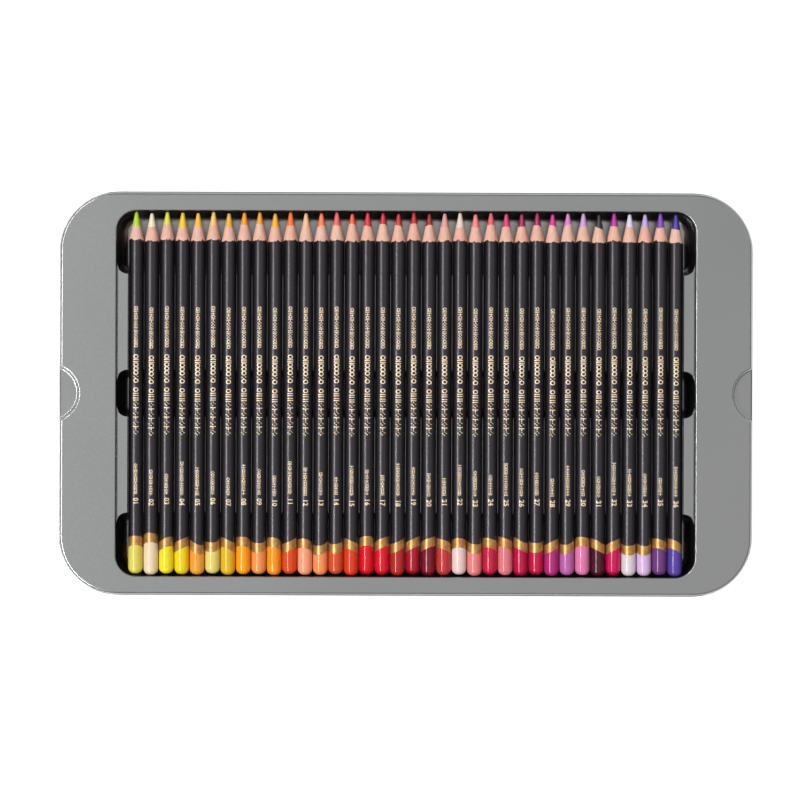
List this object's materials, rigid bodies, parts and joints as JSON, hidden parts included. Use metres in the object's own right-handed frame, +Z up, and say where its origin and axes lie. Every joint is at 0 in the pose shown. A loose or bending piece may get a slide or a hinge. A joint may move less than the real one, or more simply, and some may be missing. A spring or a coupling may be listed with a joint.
{
  "type": "colored pencil tin",
  "caption": "Shallow metal pencil tin with stacked, grooved trays of round colored pencils, thumb notches, finger troughs and a lift-off lid nested beneath.",
  "frame": {"origin": "centre of the tin's outline, on the surface it rests on", "axes": "+X along the tin's length, +Y along the pencils towards their points, +Z up"},
  "size_m": [0.3416, 0.1996, 0.0346],
  "materials": {
    "tinplate": "clear-lacquered tinplate, satin",
    "tray_sheet": "silver-grey vacuum-formed sheet, satin",
    "lower_pencils": "gloss black lacquer on cedar",
    "pencil_01": "gloss lacquer on cedar, black barrel with a dipped end in this color",
    "pencil_02": "gloss lacquer on cedar, black barrel with a dipped end in this color",
    "pencil_03": "gloss lacquer on cedar, black barrel with a dipped end in this color",
    "pencil_04": "gloss lacquer on cedar, black barrel with a dipped end in this color",
    "pencil_05": "gloss lacquer on cedar, black barrel with a dipped end in this color",
    "pencil_06": "gloss lacquer on cedar, black barrel with a dipped end in this color",
    "pencil_07": "gloss lacquer on cedar, black barrel with a dipped end in this color",
    "pencil_08": "gloss lacquer on cedar, black barrel with a dipped end in this color",
    "pencil_09": "gloss lacquer on cedar, black barrel with a dipped end in this color",
    "pencil_10": "gloss lacquer on cedar, black barrel with a dipped end in this color",
    "pencil_11": "gloss lacquer on cedar, black barrel with a dipped end in this color",
    "pencil_12": "gloss lacquer on cedar, black barrel with a dipped end in this color",
    "pencil_13": "gloss lacquer on cedar, black barrel with a dipped end in this color",
    "pencil_14": "gloss lacquer on cedar, black barrel with a dipped end in this color",
    "pencil_15": "gloss lacquer on cedar, black barrel with a dipped end in this color",
    "pencil_16": "gloss lacquer on cedar, black barrel with a dipped end in this color",
    "pencil_17": "gloss lacquer on cedar, black barrel with a dipped end in this color",
    "pencil_18": "gloss lacquer on cedar, black barrel with a dipped end in this color",
    "pencil_19": "gloss lacquer on cedar, black barrel with a dipped end in this color",
    "pencil_20": "gloss lacquer on cedar, black barrel with a dipped end in this color",
    "pencil_21": "gloss lacquer on cedar, black barrel with a dipped end in this color",
    "pencil_22": "gloss lacquer on cedar, black barrel with a dipped end in this color",
    "pencil_23": "gloss lacquer on cedar, black barrel with a dipped end in this color",
    "pencil_24": "gloss lacquer on cedar, black barrel with a dipped end in this color",
    "pencil_25": "gloss lacquer on cedar, black barrel with a dipped end in this color",
    "pencil_26": "gloss lacquer on cedar, black barrel with a dipped end in this color",
    "pencil_27": "gloss lacquer on cedar, black barrel with a dipped end in this color",
    "pencil_28": "gloss lacquer on cedar, black barrel with a dipped end in this color",
    "pencil_29": "gloss lacquer on cedar, black barrel with a dipped end in this color",
    "pencil_30": "gloss lacquer on cedar, black barrel with a dipped end in this color",
    "pencil_31": "gloss lacquer on cedar, black barrel with a dipped end in this color",
    "pencil_32": "gloss lacquer on cedar, black barrel with a dipped end in this color",
    "pencil_33": "gloss lacquer on cedar, black barrel with a dipped end in this color",
    "pencil_34": "gloss lacquer on cedar, black barrel with a dipped end in this color",
    "pencil_35": "gloss lacquer on cedar, black barrel with a dipped end in this color",
    "pencil_36": "gloss lacquer on cedar, black barrel with a dipped end in this color"
  },
  "bodies": {
    "lid": {"lid": "tinplate"},
    "base": {"tin_base": "tinplate"},
    "lower_layer": {"lower_tray": "tray_sheet"},
    "lower_row": {"lower_pencils": "lower_pencils"},
    "upper_layer": {"upper_tray": "tray_sheet"},
    "pencil_01": {"pencil_01": "pencil_01"},
    "pencil_02": {"pencil_02": "pencil_02"},
    "pencil_03": {"pencil_03": "pencil_03"},
    "pencil_04": {"pencil_04": "pencil_04"},
    "pencil_05": {"pencil_05": "pencil_05"},
    "pencil_06": {"pencil_06": "pencil_06"},
    "pencil_07": {"pencil_07": "pencil_07"},
    "pencil_08": {"pencil_08": "pencil_08"},
    "pencil_09": {"pencil_09": "pencil_09"},
    "pencil_10": {"pencil_10": "pencil_10"},
    "pencil_11": {"pencil_11": "pencil_11"},
    "pencil_12": {"pencil_12": "pencil_12"},
    "pencil_13": {"pencil_13": "pencil_13"},
    "pencil_14": {"pencil_14": "pencil_14"},
    "pencil_15": {"pencil_15": "pencil_15"},
    "pencil_16": {"pencil_16": "pencil_16"},
    "pencil_17": {"pencil_17": "pencil_17"},
    "pencil_18": {"pencil_18": "pencil_18"},
    "pencil_19": {"pencil_19": "pencil_19"},
    "pencil_20": {"pencil_20": "pencil_20"},
    "pencil_21": {"pencil_21": "pencil_21"},
    "pencil_22": {"pencil_22": "pencil_22"},
    "pencil_23": {"pencil_23": "pencil_23"},
    "pencil_24": {"pencil_24": "pencil_24"},
    "pencil_25": {"pencil_25": "pencil_25"},
    "pencil_26": {"pencil_26": "pencil_26"},
    "pencil_27": {"pencil_27": "pencil_27"},
    "pencil_28": {"pencil_28": "pencil_28"},
    "pencil_29": {"pencil_29": "pencil_29"},
    "pencil_30": {"pencil_30": "pencil_30"},
    "pencil_31": {"pencil_31": "pencil_31"},
    "pencil_32": {"pencil_32": "pencil_32"},
    "pencil_33": {"pencil_33": "pencil_33"},
    "pencil_34": {"pencil_34": "pencil_34"},
    "pencil_35": {"pencil_35": "pencil_35"},
    "pencil_36": {"pencil_36": "pencil_36"}
  },
  "joints": [
    {"name": "base_lift", "type": "slide", "parent": "lid", "child": "base", "axis": [0, 0, 1], "range_m": [0, 0.03]},
    {"name": "lower_tray_lift", "type": "slide", "parent": "base", "child": "lower_layer", "axis": [0, 0, 1], "range_m": [0, 0.04]},
    {"name": "lower_pencils_lift", "type": "slide", "parent": "lower_layer", "child": "lower_row", "axis": [0, 0, 1], "range_m": [0, 0.03]},
    {"name": "upper_tray_lift", "type": "slide", "parent": "lower_row", "child": "upper_layer", "axis": [0, 0, 1], "range_m": [0, 0.05]},
    {"name": "pencil_01_lift", "type": "slide", "parent": "upper_layer", "child": "pencil_01", "axis": [0, 0, 1], "range_m": [0, 0.03]},
    {"name": "pencil_02_lift", "type": "slide", "parent": "upper_layer", "child": "pencil_02", "axis": [0, 0, 1], "range_m": [0, 0.03]},
    {"name": "pencil_03_lift", "type": "slide", "parent": "upper_layer", "child": "pencil_03", "axis": [0, 0, 1], "range_m": [0, 0.03]},
    {"name": "pencil_04_lift", "type": "slide", "parent": "upper_layer", "child": "pencil_04", "axis": [0, 0, 1], "range_m": [0, 0.03]},
    {"name": "pencil_05_lift", "type": "slide", "parent": "upper_layer", "child": "pencil_05", "axis": [0, 0, 1], "range_m": [0, 0.03]},
    {"name": "pencil_06_lift", "type": "slide", "parent": "upper_layer", "child": "pencil_06", "axis": [0, 0, 1], "range_m": [0, 0.03]},
    {"name": "pencil_07_lift", "type": "slide", "parent": "upper_layer", "child": "pencil_07", "axis": [0, 0, 1], "range_m": [0, 0.03]},
    {"name": "pencil_08_lift", "type": "slide", "parent": "upper_layer", "child": "pencil_08", "axis": [0, 0, 1], "range_m": [0, 0.03]},
    {"name": "pencil_09_lift", "type": "slide", "parent": "upper_layer", "child": "pencil_09", "axis": [0, 0, 1], "range_m": [0, 0.03]},
    {"name": "pencil_10_lift", "type": "slide", "parent": "upper_layer", "child": "pencil_10", "axis": [0, 0, 1], "range_m": [0, 0.03]},
    {"name": "pencil_11_lift", "type": "slide", "parent": "upper_layer", "child": "pencil_11", "axis": [0, 0, 1], "range_m": [0, 0.03]},
    {"name": "pencil_12_lift", "type": "slide", "parent": "upper_layer", "child": "pencil_12", "axis": [0, 0, 1], "range_m": [0, 0.03]},
    {"name": "pencil_13_lift", "type": "slide", "parent": "upper_layer", "child": "pencil_13", "axis": [0, 0, 1], "range_m": [0, 0.03]},
    {"name": "pencil_14_lift", "type": "slide", "parent": "upper_layer", "child": "pencil_14", "axis": [0, 0, 1], "range_m": [0, 0.03]},
    {"name": "pencil_15_lift", "type": "slide", "parent": "upper_layer", "child": "pencil_15", "axis": [0, 0, 1], "range_m": [0, 0.03]},
    {"name": "pencil_16_lift", "type": "slide", "parent": "upper_layer", "child": "pencil_16", "axis": [0, 0, 1], "range_m": [0, 0.03]},
    {"name": "pencil_17_lift", "type": "slide", "parent": "upper_layer", "child": "pencil_17", "axis": [0, 0, 1], "range_m": [0, 0.03]},
    {"name": "pencil_18_lift", "type": "slide", "parent": "upper_layer", "child": "pencil_18", "axis": [0, 0, 1], "range_m": [0, 0.03]},
    {"name": "pencil_19_lift", "type": "slide", "parent": "upper_layer", "child": "pencil_19", "axis": [0, 0, 1], "range_m": [0, 0.03]},
    {"name": "pencil_20_lift", "type": "slide", "parent": "upper_layer", "child": "pencil_20", "axis": [0, 0, 1], "range_m": [0, 0.03]},
    {"name": "pencil_21_lift", "type": "slide", "parent": "upper_layer", "child": "pencil_21", "axis": [0, 0, 1], "range_m": [0, 0.03]},
    {"name": "pencil_22_lift", "type": "slide", "parent": "upper_layer", "child": "pencil_22", "axis": [0, 0, 1], "range_m": [0, 0.03]},
    {"name": "pencil_23_lift", "type": "slide", "parent": "upper_layer", "child": "pencil_23", "axis": [0, 0, 1], "range_m": [0, 0.03]},
    {"name": "pencil_24_lift", "type": "slide", "parent": "upper_layer", "child": "pencil_24", "axis": [0, 0, 1], "range_m": [0, 0.03]},
    {"name": "pencil_25_lift", "type": "slide", "parent": "upper_layer", "child": "pencil_25", "axis": [0, 0, 1], "range_m": [0, 0.03]},
    {"name": "pencil_26_lift", "type": "slide", "parent": "upper_layer", "child": "pencil_26", "axis": [0, 0, 1], "range_m": [0, 0.03]},
    {"name": "pencil_27_lift", "type": "slide", "parent": "upper_layer", "child": "pencil_27", "axis": [0, 0, 1], "range_m": [0, 0.03]},
    {"name": "pencil_28_lift", "type": "slide", "parent": "upper_layer", "child": "pencil_28", "axis": [0, 0, 1], "range_m": [0, 0.03]},
    {"name": "pencil_29_lift", "type": "slide", "parent": "upper_layer", "child": "pencil_29", "axis": [0, 0, 1], "range_m": [0, 0.03]},
    {"name": "pencil_30_lift", "type": "slide", "parent": "upper_layer", "child": "pencil_30", "axis": [0, 0, 1], "range_m": [0, 0.03]},
    {"name": "pencil_31_lift", "type": "slide", "parent": "upper_layer", "child": "pencil_31", "axis": [0, 0, 1], "range_m": [0, 0.03]},
    {"name": "pencil_32_lift", "type": "slide", "parent": "upper_layer", "child": "pencil_32", "axis": [0, 0, 1], "range_m": [0, 0.03]},
    {"name": "pencil_33_lift", "type": "slide", "parent": "upper_layer", "child": "pencil_33", "axis": [0, 0, 1], "range_m": [0, 0.03]},
    {"name": "pencil_34_lift", "type": "slide", "parent": "upper_layer", "child": "pencil_34", "axis": [0, 0, 1], "range_m": [0, 0.03]},
    {"name": "pencil_35_lift", "type": "slide", "parent": "upper_layer", "child": "pencil_35", "axis": [0, 0, 1], "range_m": [0, 0.03]},
    {"name": "pencil_36_lift", "type": "slide", "parent": "upper_layer", "child": "pencil_36", "axis": [0, 0, 1], "range_m": [0, 0.03]}
  ]
}
